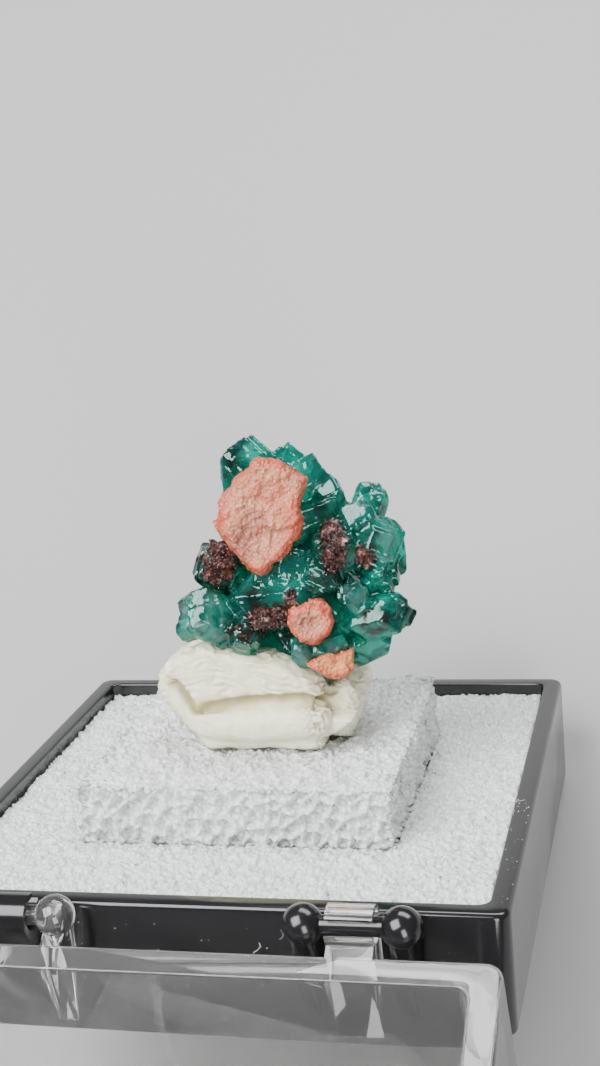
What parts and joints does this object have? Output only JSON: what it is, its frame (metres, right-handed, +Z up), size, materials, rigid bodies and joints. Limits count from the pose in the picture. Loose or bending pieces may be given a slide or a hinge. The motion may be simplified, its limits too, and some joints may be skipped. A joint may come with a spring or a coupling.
{
  "type": "dioptase specimen in hinged display box",
  "caption": "Cluster of emerald-green dioptase crystals with pink calcite, held by putty on foam in a small black and clear hinged box, lid fully open.",
  "frame": {"origin": "on the resting surface, under the middle of the fully open box", "axes": "+X to the right along the hinge, +Y from the open lid to the tray with the specimen, +Z up"},
  "size_m": [0.032, 0.0668, 0.0307],
  "materials": {
    "box_black": "gloss",
    "box_clear": "gloss",
    "foam": "matte",
    "putty": "satin",
    "dioptase": "polished",
    "calcite_pink": "satin",
    "calcite_orange": "satin"
  },
  "bodies": {
    "base": {"box_base": "box_black", "foam_pad": "foam", "foam_block": "foam", "mounting_putty": "putty", "dioptase_cluster": "dioptase", "calcite_large": "calcite_pink", "calcite_small": "calcite_pink", "calcite_lower": "calcite_orange"},
    "lid": {"box_lid": "box_clear"}
  },
  "joints": [
    {"name": "lid_hinge", "type": "hinge", "parent": "base", "child": "lid", "pos_m": [0, 0.00435, 0.02445], "axis": [-1, 0, 0], "range_deg": [0, 203.5]}
  ]
}
